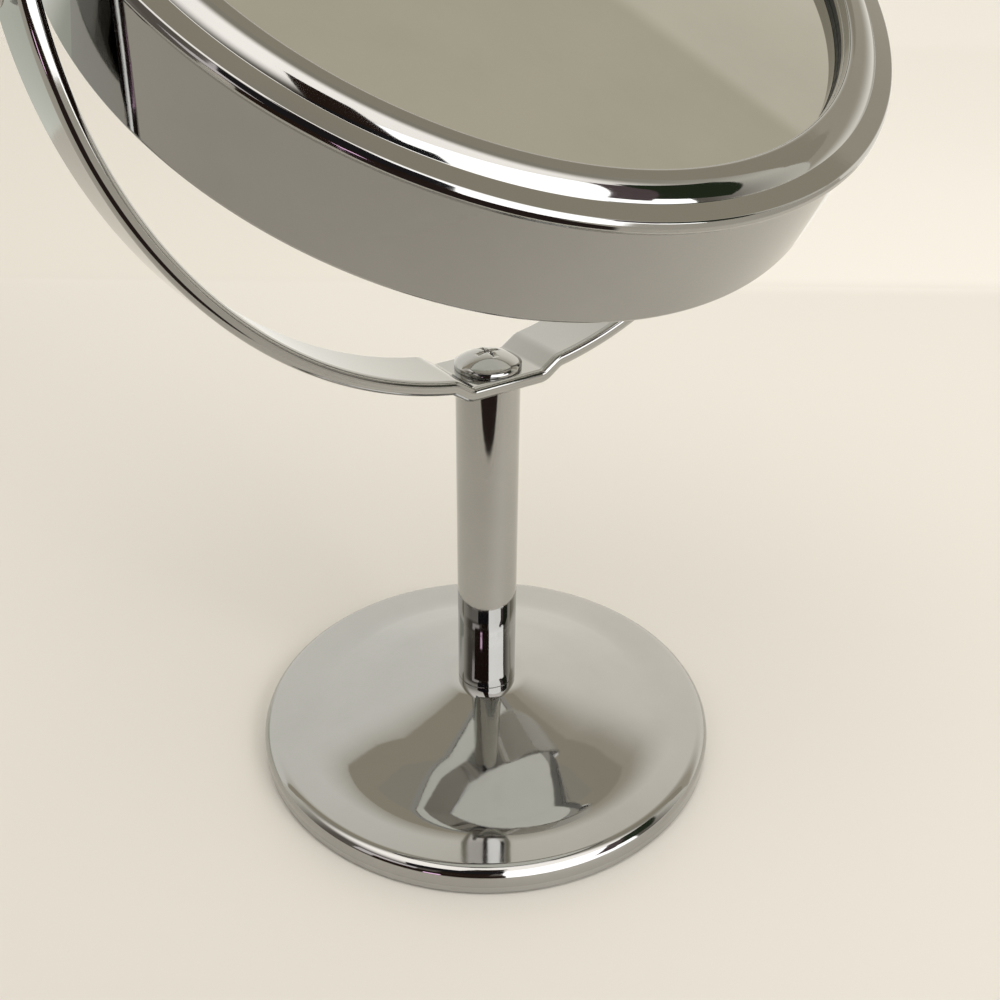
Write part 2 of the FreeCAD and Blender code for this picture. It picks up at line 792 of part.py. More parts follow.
def make_core():
    """Moulded spacer: a web between the glasses, a rim round them, and fins to the drum's wall."""
    body = new_body("core_spacer")
    low = "drum_inside + core_play"
    high = "front_glass_face - core_play"
    under = "web_middle - core_web / 2"
    over = "web_middle + core_web / 2"
    inner = "(foam_inner + foam_outer - core_wall) / 2"
    outer = "(foam_inner + foam_outer + core_wall) / 2"
    turned(body, "section", [
        corner("0", under),
        corner(inner, under),
        corner(inner, "core_rear"),
        corner(outer, "core_rear"),
        corner(outer, under),
        corner("core_bore", under),
        corner("core_bore", low),
        corner("core_radius", low),
        corner("core_radius", high),
        corner("core_bore", high),
        corner("core_bore", over),
        corner(outer, over),
        corner(outer, "core_front"),
        corner(inner, "core_front"),
        corner(inner, over),
        corner("0", over),
    ])
    # The first fin stands half a step from the tilt axis, clear of the nuts.
    sketch = new_sketch(body, "fin", "XZ_Plane")
    sketch.AttachmentOffset = FreeCAD.Placement(
        FreeCAD.Vector(0, 0, 0), FreeCAD.Rotation(FreeCAD.Vector(0, 1, 0), 1))
    bind(sketch, "AttachmentOffset.Rotation.Angle", "90 / fin_pairs * 1 deg")
    outline(sketch, [
        corner("core_bore + core_rim / 2", "core_rear"),
        corner("mouth_bore - core_play", "core_rear"),
        corner("mouth_bore - core_play", "core_front"),
        corner("core_bore + core_rim / 2", "core_front"),
    ])
    fin = feature(body, "Pad", "fin_pad", sketch)
    fin.Midplane = True
    bind(fin, "Length", "fin_width")
    doc.recompute()
    repeat_about(body, fin, "Z_Axis", 2 * round(value("fin_pairs")))
    return place_head(body)


# ---------------------------------------------------------------- the pivots

def place_pivot(body, leaning, side):
    """Set a pivot piece on its side of the head; those on the head lean with it."""
    around = FreeCAD.Rotation(FreeCAD.Vector(0, 0, 1), 0 if side == "right" else 180)
    lean = FreeCAD.Rotation(FreeCAD.Vector(1, 0, 0), 90 - value("tilt_back") if leaning else 0)
    body.Placement = FreeCAD.Placement(FreeCAD.Vector(0, 0, 0), lean * around)
    bind(body, "Placement.Base.z", "pivot_height")
    return body


def make_pivot(side):
    """Shoulder screw, bush, washers and nut that carry one side of the head."""
    axis = "H_Axis"

    screw = new_body(f"pivot_screw_{side}")
    edge = "knob_seat + knob_edge"
    apex = "knob_seat + knob_edge + knob_dome"
    middle, ball = domed(apex, edge, "knob_radius")
    turned(screw, "shape", [
        corner("nut_inside", "0"),
        corner(apex, "0"),
        arc(middle, "0", ball),
        corner(edge, "knob_radius"),
        corner("knob_seat", "knob_radius"),
        corner("knob_seat", "shoulder_radius"),
        corner("shoulder_end", "shoulder_radius"),
        corner("shoulder_end", "stud_radius"),
        corner("nut_inside", "stud_radius"),
    ], axis)
    sketch = new_sketch(screw, "slot", "YZ_Plane", apex)
    slot(sketch, "3 * knob_radius", "slot_width")
    cut_down(screw, "slot_cut", sketch, "slot_depth")

    bush = new_body(f"pivot_bush_{side}")
    tube(bush, "sleeve", "bush_radius", "pivot_bore", "mouth_radius / 2", "bush_end", axis)
    level = "2 * bush_radius"
    outer = "wall_at_pivot {0} wall_slope * 2 * bush_radius"
    turned(bush, "saddle", [
        corner("0", f"-{level}"),
        corner(outer.format("+"), f"-{level}"),
        corner(outer.format("-"), level),
        corner("0", level),
    ], kind="Groove")

    nut = new_body(f"pivot_nut_{side}")
    sketch = new_sketch(nut, "hexagon", "YZ_Plane", "nut_inside")
    hexagon(sketch, "nut_flats")
    block = feature(nut, "Pad", "block", sketch)
    bind(block, "Length", "2 * nut_length")
    doc.recompute()
    bore_sketch = new_sketch(nut, "bore", "YZ_Plane")
    ring(bore_sketch, "stud_radius + thread_play")
    cut_through(nut, "bore_cut", bore_sketch)
    level = "2 * nut_flats"
    inner = "wall_at_pivot - drum_sheet {0} wall_slope * 2 * nut_flats"
    turned(nut, "saddle", [
        corner(inner.format("+"), f"-{level}"),
        corner("2 * drum_radius", f"-{level}"),
        corner("2 * drum_radius", level),
        corner(inner.format("-"), level),
    ], kind="Groove")

    nylon = new_body(f"nylon_washer_{side}")
    tube(nylon, "ring", "nylon_radius", "ring_bore", "nylon_seat - nylon_thickness", "nylon_seat", axis)
    wave = new_body(f"wave_washer_{side}")
    tube(wave, "ring", "wave_radius", "ring_bore", "arm_outside", "arm_outside + wave_thickness", axis)
    return ([place_pivot(body, True, side) for body in (screw, bush, nut)]
            + [place_pivot(body, False, side) for body in (nylon, wave)])


def hexagon(sketch, flats):
    """A regular hexagon from its width across flats."""
    half = f"{flats} / 2"
    reach = f"{flats} / sqrt(3)"
    outline(sketch, [
        corner(reach, "0"),
        corner(f"{reach} / 2", half),
        corner(f"-{reach} / 2", half),
        corner(f"-{reach}", "0"),
        corner(f"-{reach} / 2", f"-{half}"),
        corner(f"{reach} / 2", f"-{half}"),
    ])


# ---------------------------------------------------------------- build and write

bodies = [make_foot_shell(), make_foot_weight(), make_foot_pad(), make_foot_screw()]
bodies += make_foot_washers()
bodies += make_post()
bodies += [make_yoke(), make_yoke_screw()]
bodies += [make_drum(), make_bezel(), make_front_glass(), make_rear_glass()]
bodies += make_foam_rings()
bodies += [make_core()]
for side in ("right", "left"):
    bodies += make_pivot(side)
doc.recompute()

for thing in doc.Objects:
    if {"Invalid", "Error"} & set(thing.State):
        raise RuntimeError(f"{thing.Name} failed: {thing.State}")
for body in bodies:
    if body.Shape.isNull() or not body.Shape.isValid() or len(body.Shape.Solids) != 1:
        raise RuntimeError(f"{body.Label} is not one valid solid")

os.makedirs("parts", exist_ok=True)
for body in bodies:
    body.Shape.exportStep(f"parts/{body.Label}.step")
    print(f"{body.Label:22s} {body.Shape.Volume:12.1f} mm3")
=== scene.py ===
"""Looks of the tilting vanity mirror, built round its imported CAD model."""

import json
import math
from types import SimpleNamespace

import bpy
from mathutils import Matrix, Vector
from mathutils.geometry import delaunay_2d_cdt


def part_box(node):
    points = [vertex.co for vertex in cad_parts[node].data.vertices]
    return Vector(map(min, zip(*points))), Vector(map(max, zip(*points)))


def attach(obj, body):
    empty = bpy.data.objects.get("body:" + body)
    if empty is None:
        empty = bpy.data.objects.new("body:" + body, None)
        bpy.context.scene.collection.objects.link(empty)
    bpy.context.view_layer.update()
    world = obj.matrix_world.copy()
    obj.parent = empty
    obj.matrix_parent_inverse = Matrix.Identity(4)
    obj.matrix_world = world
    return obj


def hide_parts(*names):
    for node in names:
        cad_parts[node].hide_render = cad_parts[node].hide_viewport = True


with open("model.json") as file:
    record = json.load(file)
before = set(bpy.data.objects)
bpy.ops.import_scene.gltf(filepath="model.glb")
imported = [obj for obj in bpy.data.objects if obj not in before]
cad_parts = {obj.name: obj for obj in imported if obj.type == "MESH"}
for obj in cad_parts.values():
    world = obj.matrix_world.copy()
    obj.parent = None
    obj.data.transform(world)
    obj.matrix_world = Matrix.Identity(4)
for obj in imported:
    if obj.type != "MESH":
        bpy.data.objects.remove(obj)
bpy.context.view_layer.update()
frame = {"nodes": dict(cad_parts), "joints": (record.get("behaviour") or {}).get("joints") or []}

MM = 0.001
UPRIGHT = Matrix.Identity(4)

# ---------------------------------------------------------------- sizes in millimetres

TILT_BACK = 56.82
PIVOT = Vector(frame["joints"][0]["pos_m"]) / MM
HEAD = Matrix.Translation(PIVOT) @ Matrix.Rotation(math.radians(90 - TILT_BACK), 4, "X")
CLEAR = 0.05
TINY = 1e-6

# How finely round shapes are divided.
ARC_STEP = math.radians(6)
BIG_RING = 288
SMALL_RING = 96
HOLE_STEPS = 64
END_STEPS = 40
EDGE_STEPS = 8
TIGHT_STEP = math.radians(3)
BOW_STEP = math.radians(0.8)


def reach(node, place=UPRIGHT):
    """How far a CAD node lies from the axis of its own frame, and between which levels."""
    back = place.inverted()
    points = [back @ (v.co / MM) for v in frame["nodes"][node].data.vertices]
    radii = [math.hypot(p.x, p.y) for p in points]
    levels = [p.z for p in points]
    return SimpleNamespace(inner=min(radii), outer=max(radii), low=min(levels), high=max(levels))


def side_place(side, leaning):
    """The frame of a pivot piece, whose Z runs outwards along the tilt axis."""
    turn = Matrix.Rotation(math.radians(90 if side == "right" else -90), 4, "Y")
    return (HEAD if leaning else Matrix.Translation(PIVOT)) @ turn


foot = reach("foot_shell")
pad = reach("foot_pad")
post = reach("post_tube")
truss = reach("yoke_screw")
bezel = reach("front_bezel", HEAD)
drum = reach("drum_housing", HEAD)
front_glass = reach("front_glass", HEAD)
rear_glass = reach("rear_glass", HEAD)
front_foam = reach("front_foam_ring", HEAD)
rear_foam = reach("rear_foam_ring", HEAD)
knob = reach("pivot_screw_right", side_place("right", True))
bush = reach("pivot_bush_right", side_place("right", True))
nylon = reach("nylon_washer_right", side_place("right", False))
wave = reach("wave_washer_right", side_place("right", False))
yoke_low, yoke_high = (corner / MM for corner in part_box("yoke"))

# The foot and the post.
SHEET = 0.8
FOOT_SHEET = 1.2
FOOT_EDGE = 0.15
RIM_ROUND = 2.7
BAND_WIDTH = 11.0
CREASE_ROUND = 20.0
BELL_WIDTH = 12.5
BELL_RISE = 4.1
BELL_ROUND = 80.0
DISH_RISE = 9.1
LAND_MARGIN = 2.0
LAND_ROUND = 10.0
SCREW_HOLE = 2.75
POST_WALL = 1.0
THREAD = 2.5
TRUSS_EDGE = 1.0

# The yoke.
NYLON_SINK = 0.2
NYLON_PLAY = 0.2
BAR_ROUND = 1.2
SEAT_MARGIN = 1.9
STEP_ANGLE = math.radians(34)
STEP_BEND = 3.0

# The head. Its bezel's section was found from the reflections in the photograph.
BEAD_OFFSET = 1.9
BEAD_RADIUS = 2.1
CURL_LEAN = 0.72
CURL_DROP = 1.3
CURL_ROUND = 1.2
EDGE_ROUND = 0.4
DRUM_MARGIN = 6.6
DRUM_FLARE = 0.9
DRUM_ROUND = 1.02
BEAD_FOOT = 0.15
BEAD_RISE = 1.47
BEAD_ROUND = 4.25
BEAD_SHOULDER = 0.9
LIP_LEDGE = 0.15
SILVER_DEPTH = 1.0
LIP_DROP = 0.55
LIP_ROUND = 0.25
GLASS_BEVEL = 0.4
DISH_SAG = 2.2

# The pivots and the screws' recesses.
SHOULDER = 3.0
PIVOT_PLAY = 0.05
STUD = 2.0
KNOB_EDGE = 1.2
KNOB_DOME = 2.6
SLOT_WIDTH = 1.2
SLOT_DEPTH = 1.0
DRIVE_LENGTH = 5.2
DRIVE_WIDTH = 1.1
DRIVE_DEPTH = 1.6
CUTTER_DRAW = 0.94
SHARP_EDGE = math.radians(32)

# Small rounds on the edges of turned pieces.
HAIR_EDGE = 0.1
FINE_EDGE = 0.2
SOFT_EDGE = 0.3
BLUNT_EDGE = 0.4

# ---------------------------------------------------------------- mesh building


class Skin:
    """Points and faces of one piece, with the true normal of the surface at each face corner."""

    def __init__(self):
        self.points = []
        self.faces = []
        self.normals = []

    def row(self, points):
        first = len(self.points)
        self.points.extend(points)
        return list(range(first, len(self.points)))

    def face(self, corners):
        """Corners are pairs of point number and normal, anticlockwise seen from outside."""
        self.faces.append([number for number, normal in corners])
        self.normals.extend(normal for number, normal in corners)

    def band(self, lower, upper, lower_normals, upper_normals):
        """Faces between two closed rows; a row of one point is a tip."""
        count = max(len(lower), len(upper))
        for i in range(count):
            j = (i + 1) % count
            corners = []
            sides = ((lower, lower_normals, (i, j)), (upper, upper_normals, (j, i)))
            for row, normals, order in sides:
                if len(row) == 1:
                    corners.append((row[0], normals[i]))
                else:
                    corners.extend((row[k], normals[k]) for k in order)
            self.face(corners)

    def build(self, name):
        mesh = bpy.data.meshes.new(name)
        mesh.from_pydata([point * MM for point in self.points], [], self.faces)
        mesh.polygons.foreach_set("use_smooth", [True] * len(mesh.polygons))
        mesh.normals_split_custom_set(self.normals)
        mesh.update()
        piece = bpy.data.objects.new(name, mesh)
        bpy.context.scene.collection.objects.link(piece)
        return piece


def corner(across, along, fillet=0.0):
    return SimpleNamespace(spot=Vector((across, along)), fillet=fillet)


def arc(across, along, clockwise=False):
    """The edge between the corners before and after it is an arc about this centre."""
    return SimpleNamespace(centre=Vector((across, along)), clockwise=clockwise)


def sweep(centre, begin, end, clockwise):
    """Points along an arc after its begin, and the normals at both ends of each step."""
    first, last = begin - centre, end - centre
    angle = first.angle_signed(last)
    total = angle % (2 * math.pi) if clockwise else -(-angle % (2 * math.pi))
    steps = max(2, math.ceil(abs(total) / ARC_STEP))
    outward = -1 if clockwise else 1
    spots = [centre + Matrix.Rotation(-total * i / steps, 2) @ first for i in range(steps + 1)]
    spots[-1] = end
    rays = [(spot - centre).normalized() * outward for spot in spots]
    return [(spots[i + 1], rays[i], rays[i + 1]) for i in range(steps)]


def trace(items):
    """A closed outline as points, and the normals at the two ends of the edge after each point."""
    corners = [item for item in items if hasattr(item, "spot")]
    bends = {}
    for index, item in enumerate(items):
        if hasattr(item, "centre"):
            bends[sum(hasattr(before, "spot") for before in items[:index]) - 1] = item
    count = len(corners)
    arrive, leave, rounds = [], [], []
    for index, item in enumerate(corners):
        here = item.spot
        if not item.fillet:
            arrive.append(here)
            leave.append(here)
            rounds.append(None)
            continue
        back = (corners[index - 1].spot - here).normalized()
        ahead = (corners[(index + 1) % count].spot - here).normalized()
        half = back.angle(ahead) / 2
        arrive.append(here + back * (item.fillet / math.tan(half)))
        leave.append(here + ahead * (item.fillet / math.tan(half)))
        centre = here + (back + ahead).normalized() * (item.fillet / math.sin(half))
        rounds.append((centre, back.x * ahead.y - back.y * ahead.x > 0))
    steps = []
    for index in range(count):
        if rounds[index]:
            centre, clockwise = rounds[index]
            steps.extend(sweep(centre, arrive[index], leave[index], clockwise))
        end = arrive[(index + 1) % count]
        if index in bends:
            steps.extend(sweep(bends[index].centre, leave[index], end, bends[index].clockwise))
        elif (end - leave[index]).length > TINY:
            along = (end - leave[index]).normalized()
            side = Vector((along.y, -along.x))
            steps.append((end, side, side))
    points = [steps[-1][0]] + [step[0] for step in steps[:-1]]
    area = sum(points[i - 1].x * p.y - points[i - 1].y * p.x for i, p in enumerate(points))
    normals = [(step[1], step[2]) for step in steps]
    if area > 0:
        return points, normals
    points.reverse()
    normals = [(-second, -first) for first, second in reversed(normals)]
    return points, normals[1:] + normals[:1]


def lathe(name, items, place=UPRIGHT, steps=BIG_RING, warp=None):
    """A closed outline of radius and level, turned about the Z axis of its place."""
    points, normals = trace(items)
    skin = Skin()
    turn = place.to_3x3()
    angles = [2 * math.pi * i / steps for i in range(steps)]
    rays = [Vector((math.cos(angle), math.sin(angle), 0)) for angle in angles]
    rows = []
    for point in points:
        if point.x < TINY:
            rows.append(skin.row([place @ Vector((0, 0, point.y))]))
            continue
        spots = [ray * point.x + Vector((0, 0, point.y)) for ray in rays]
        rows.append(skin.row([place @ (warp(spot) if warp else spot) for spot in spots]))
    for index, (first, second) in enumerate(normals):
        lower, upper = rows[index], rows[(index + 1) % len(rows)]
        if len(lower) == 1 and len(upper) == 1:
            continue
        both = [[turn @ (ray * side.x + Vector((0, 0, side.y))) for ray in rays]
                for side in (first, second)]
        skin.band(lower, upper, both[0], both[1])
    return skin.build(name)


def tube(name, outer, inner, low, high, place=UPRIGHT, steps=SMALL_RING, edge=0.0, warp=None):
    return lathe(name, [
        corner(inner, low, edge), corner(outer, low, edge),
        corner(outer, high, edge), corner(inner, high, edge),
    ], place, steps, warp)


def ball_of(rise, radius):
    """Radius of the ball whose cap has this rise and this radius at its edge."""
    return (radius ** 2 + rise ** 2) / (2 * rise)


def cut(piece, cutters):
    """Take the cutters out of a piece, and shade what is left by the angles of its edges."""
    for cutter in cutters:
        modifier = piece.modifiers.new("cut", "BOOLEAN")
        modifier.operation = "DIFFERENCE"
        modifier.solver = "EXACT"
        modifier.object = cutter
    shape = piece.evaluated_get(bpy.context.evaluated_depsgraph_get())
    mesh = bpy.data.meshes.new_from_object(shape)
    piece.modifiers.clear()
    piece.data = mesh
    mesh.polygons.foreach_set("use_smooth", [True] * len(mesh.polygons))
    mesh.set_sharp_from_angle(angle=SHARP_EDGE)
    for cutter in cutters:
        bpy.data.objects.remove(cutter)


def block(size, place, name="cutter"):
    """A cutter: a box about the origin of its place, with its sides drawn in a little below."""
    skin = Skin()
    x, y, z = (length / 2 for length in size)
    low, high = (
        skin.row([place @ Vector(p) for p in (
            (-x * draw, -y * draw, level), (x * draw, -y * draw, level),
            (x * draw, y * draw, level), (-x * draw, y * draw, level))])
        for draw, level in ((CUTTER_DRAW, -z), (1, z)))
    up = [Vector((0, 0, 1))] * 4
    skin.face(list(zip(low[::-1], up)))
    skin.face(list(zip(high, up)))
    skin.band(low, high, up, up)
    return skin.build(name)


# ---------------------------------------------------------------- materials


def node(tree, kind, **settings):
    made = tree.nodes.new(kind)
    for key, setting in settings.items():
        if key in made.inputs:
            made.inputs[key].default_value = setting
        else:
            setattr(made, key, setting)
    return made


def noise(tree, scale, detail=3.0, roughness=0.5, stretch=(1, 1, 1)):
    """Noise in the piece's own coordinates, in metres."""
    where = node(tree, "ShaderNodeTexCoord")
    mapping = node(tree, "ShaderNodeMapping")
    mapping.inputs["Scale"].default_value = stretch
    texture = node(tree, "ShaderNodeTexNoise", Scale=scale, Detail=detail, Roughness=roughness)
    tree.links.new(where.outputs["Object"], mapping.inputs["Vector"])
    tree.links.new(mapping.outputs["Vector"], texture.inputs["Vector"])
    return texture.outputs["Fac"]


def spread(tree, source, low, high, start=0.35, end=0.65):
    """Map a noise onto values from low to high."""
    ranged = node(tree, "ShaderNodeMapRange")
    ranged.inputs["From Min"].default_value = start
    ranged.inputs["From Max"].default_value = end
    ranged.inputs["To Min"].default_value = low
    ranged.inputs["To Max"].default_value = high
    tree.links.new(source, ranged.inputs["Value"])
    return ranged.outputs["Result"]


def tint(tree, source, first, second):
    ramp = node(tree, "ShaderNodeMix", data_type="RGBA")
    ramp.inputs[6].default_value = (*first, 1)
    ramp.inputs[7].default_value = (*second, 1)
    tree.links.new(source, ramp.inputs[0])
    return ramp.outputs[2]


def relief(tree, shader, source, depth, before=None):
    """Bump of a given depth in metres, on top of the one before it."""
    bump = node(tree, "ShaderNodeBump", Strength=1.0, Distance=depth)
    tree.links.new(source, bump.inputs["Height"])
    if before:
        tree.links.new(before, bump.inputs["Normal"])
    tree.links.new(bump.outputs["Normal"], shader.inputs["Normal"])
    return bump.outputs["Normal"]


def new_material(name):
    material = bpy.data.materials.new(name)
    material.use_nodes = True
    return material, material.node_tree, material.node_tree.nodes["Principled BSDF"]


def chrome_material(name, light, dark, rough_low, rough_high, peel):
    """Plated metal: a faint orange peel, handled patches that are duller, and fine pits."""
    material, tree, shader = new_material(name)
    shader.inputs["Metallic"].default_value = 1.0
    smudge = noise(tree, 38, 5, 0.6)
    colour = tint(tree, spread(tree, smudge, 0, 1, 0.4, 0.7), light, dark)
    tree.links.new(colour, shader.inputs["Base Color"])
    tree.links.new(spread(tree, smudge, rough_low, rough_high), shader.inputs["Roughness"])
    slow = relief(tree, shader, noise(tree, 260, 2, 0.5), peel)
    relief(tree, shader, noise(tree, 2600, 2, 0.5), peel * 0.05, slow)
    return material


def mirror_material(name, colour, dusty):
    material, tree, shader = new_material(name)
    shader.inputs["Metallic"].default_value = 1.0
    shader.inputs["Coat Weight"].default_value = 0.6
    shader.inputs["Coat Roughness"].default_value = 0.01
    film = noise(tree, 22, 6, 0.65)
    tinted = tint(tree, spread(tree, film, 0, 1, 0.45, 0.75), colour, dusty)
    tree.links.new(tinted, shader.inputs["Base Color"])
    tree.links.new(spread(tree, film, 0.004, 0.03, 0.45, 0.8), shader.inputs["Roughness"])
    relief(tree, shader, noise(tree, 30, 1, 0.4), 2e-6)
    return material


def dull_material(name, light, dark, rough, scale, depth, metallic=0.0, stretch=(1, 1, 1)):
    """Foam, cast metal, plain steel or nylon, by its grain and how deep that is; also the painted
    shade round the glass's edge.
    """
    material, tree, shader = new_material(name)
    shader.inputs["Metallic"].default_value = metallic
    grain = noise(tree, scale, 4, 0.6, stretch)
    tree.links.new(tint(tree, spread(tree, grain, 0, 1), light, dark), shader.inputs["Base Color"])
    tree.links.new(spread(tree, grain, rough - 0.08, rough + 0.08), shader.inputs["Roughness"])
    relief(tree, shader, grain, depth)
    return material


PLATE_SMOOTH = 0.035
PLATE_DULL = 0.075
PLATE_PEEL = 6e-6
CHROME = chrome_material("chrome", (0.465, 0.462, 0.45), (0.44, 0.437, 0.425),
                         PLATE_SMOOTH, PLATE_DULL, PLATE_PEEL)
# The drum's copy of the chrome is darker: painted shade, standing in for the shade on the table
# that the drum reflects.
SHADED_DRUM_CHROME = chrome_material("shaded_drum_chrome", (0.408, 0.405, 0.395), (0.386, 0.383, 0.373),
                              PLATE_SMOOTH, PLATE_DULL, PLATE_PEEL)
MIRROR = mirror_material("mirror_glass", (0.80, 0.81, 0.79), (0.74, 0.75, 0.73))
FOAM = dull_material("foam", (0.05, 0.05, 0.055), (0.02, 0.02, 0.024), 0.85, 2200, 1.5e-4)
CAST = dull_material("cast_weight", (0.14, 0.14, 0.14), (0.07, 0.07, 0.072), 0.6, 900, 1e-4,
                     metallic=0.6)
STEEL = dull_material("plain_steel", (0.56, 0.56, 0.57), (0.42, 0.42, 0.43), 0.3, 500, 8e-6,
                      metallic=1.0, stretch=(1, 1, 6))
NYLON = dull_material("nylon", (0.80, 0.79, 0.75), (0.70, 0.69, 0.65), 0.5, 700, 1.2e-5)
# A near-black ring round the glass's edge under the bezel's lip: painted shade.
MARGIN = dull_material("glass_margin_shade", (0.012, 0.016, 0.013), (0.006, 0.008, 0.007), 0.5, 900, 4e-6)
COATS = {
    "chrome": CHROME, "mirror_glass": MIRROR, "foam": FOAM,
    "cast_weight": CAST, "plain_steel": STEEL, "nylon": NYLON,
}


def dress(piece, slot, body, *nodes, coat=None):
    """Give a new piece its finish and its body, and let it stand for the nodes."""
    piece.data.materials.clear()
    piece.data.materials.append(coat or COATS[slot])
    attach(piece, body)
    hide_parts(*nodes)
    return piece


# ---------------------------------------------------------------- the foot and the post

deck_top = foot.high - DISH_RISE
deck_under = deck_top - FOOT_SHEET
land_under = foot.high - FOOT_SHEET
crease = foot.outer - BAND_WIDTH
bell = crease - BELL_WIDTH
land = post.outer + LAND_MARGIN
rim_bore = foot.outer - FOOT_SHEET

dress(lathe("dish", [
    corner(foot.outer, foot.low, FOOT_EDGE),
    corner(foot.outer, deck_top, RIM_ROUND),
    corner(crease, deck_top, CREASE_ROUND),
    corner(bell, deck_top + BELL_RISE, BELL_ROUND),
    corner(land, foot.high, LAND_ROUND),
    corner(SCREW_HOLE, foot.high),
    corner(SCREW_HOLE, land_under),
    corner(land, land_under, LAND_ROUND - FOOT_SHEET),
    corner(bell, deck_under + BELL_RISE, BELL_ROUND - FOOT_SHEET),
    corner(crease, deck_under, CREASE_ROUND + FOOT_SHEET),
    corner(rim_bore, deck_under, RIM_ROUND - FOOT_SHEET),
    corner(rim_bore, foot.low, FOOT_EDGE),
]), "chrome", "stand", "foot_shell")

pad_piece = dress(lathe("pad", [
    corner(0, pad.low),
    corner(pad.outer, pad.low, BLUNT_EDGE),
    corner(pad.outer, pad.high, FINE_EDGE),
    corner(0, pad.high),
]), "foam", "stand", "foot_pad")

dress(tube("post", post.outer, post.outer - POST_WALL, post.low, post.high, edge=FINE_EDGE),
      "chrome", "stand", "post_tube")

# ---------------------------------------------------------------- the yoke

arm_outside = yoke_high.x
bar_inside = nylon.high - NYLON_SINK
bar_thick = arm_outside - bar_inside
bar_half = (yoke_high.y - yoke_low.y) / 2
bow = bar_inside + bar_thick / 2
seat_level = post.high + bar_thick / 2


def bar_runs():
    """The right half of the bar's centre line: start, heading, length and curvature of each run."""
    knee = Vector((truss.outer + SEAT_MARGIN, seat_level - PIVOT.z))
    along = Vector((math.cos(STEP_ANGLE), math.sin(STEP_ANGLE)))
    below = Vector((math.sin(STEP_ANGLE), -math.cos(STEP_ANGLE)))
    tangent = STEP_BEND * math.tan(STEP_ANGLE / 2)
    start = knee + below * STEP_BEND
    half = start.dot(along)
    rise = -half - math.sqrt(half ** 2 - start.length_squared + (bow + STEP_BEND) ** 2)
    centre = start + along * rise
    heading = math.atan2(centre.y, centre.x) + math.pi / 2
    return [
        (knee.x - tangent, 0),
        (STEP_BEND * STEP_ANGLE, 1 / STEP_BEND),
        (rise - tangent, 0),
        (STEP_BEND * (STEP_ANGLE - heading), -1 / STEP_BEND),
        (bow * (math.pi / 2 - heading), 1 / bow),
    ]


RUNS = bar_runs()
BAR_LENGTH = sum(length for length, curve in RUNS)


def along_bar(travel):
    """Point and heading at a distance from the middle of the bar, the same on both sides."""
    left = abs(travel)
    x, z, heading = 0.0, seat_level, 0.0
    for length, curve in RUNS + [(math.inf, 0)]:
        step = min(left, length)
        if curve:
            turned = heading + curve * step
            x += (math.sin(turned) - math.sin(heading)) / curve
            z += (math.cos(heading) - math.cos(turned)) / curve
            heading = turned
        else:
            x += math.cos(heading) * step
            z += math.sin(heading) * step
        left -= step
        if left <= 0:
            break
    sign = -1 if travel < 0 else 1
    return sign * x, z, sign * heading


def bent(travel, y, level):
    x, z, heading = along_bar(travel)
    return Vector((x - math.sin(heading) * level, y, z + math.cos(heading) * level))


def bent_normal(travel, ahead, across, up):
    heading = along_bar(travel)[2]
    tangent = Vector((math.cos(heading), 0, math.sin(heading)))
    upward = Vector((-math.sin(heading), 0, math.cos(heading)))
    return tangent * ahead + Vector((0, across, 0)) + upward * up


def bar_stations():
    """Distances along the whole bar, closer together where it bends more."""
    right = [0.0]
    for length, curve in RUNS:
        step = TIGHT_STEP if abs(curve) * STEP_BEND > 0.5 else BOW_STEP
        steps = max(1, math.ceil(abs(curve) * length / step))
        start = right[-1]
        right += [start + length * (i + 1) / steps for i in range(steps)]
    return [-travel for travel in right[:0:-1]] + right


STATIONS = bar_stations()
SIDE_STEPS = len(STATIONS) - 1


def bar_loop(inset):
    """Outline of the bar laid flat, drawn in by inset, with the outward direction at each point."""
    half = bar_half - inset
    loop = []
    for sign in (1, -1):
        loop += [(sign * travel, -sign * half, 0, -sign) for travel in STATIONS[:-1]]
        for i in range(END_STEPS):
            angle = math.pi * (i / END_STEPS - 0.5)
            ahead, across = sign * math.cos(angle), sign * math.sin(angle)
            loop.append((sign * BAR_LENGTH + half * ahead, half * across, ahead, across))
    return loop


def inside(point, polygon):
    """Whether a point lies in a polygon, by counting crossings."""
    odd = False
    for index, (x, y) in enumerate(polygon):
        x0, y0 = polygon[index - 1]
        crosses = (y > point[1]) != (y0 > point[1])
        if crosses and point[0] < (x0 - x) * (point[1] - y) / (y0 - y) + x:
            odd = not odd
    return odd


def circle(radius):
    angles = [2 * math.pi * i / HOLE_STEPS for i in range(HOLE_STEPS)]
    return [(radius * math.cos(angle), radius * math.sin(angle)) for angle in angles]


def travel_at(height, level):
    """Distance along the bar of a point on one of its faces, from its height over the tilt axis."""
    if height >= 0:
        return BAR_LENGTH + height
    return BAR_LENGTH + bow * math.asin(height / (bow - level))


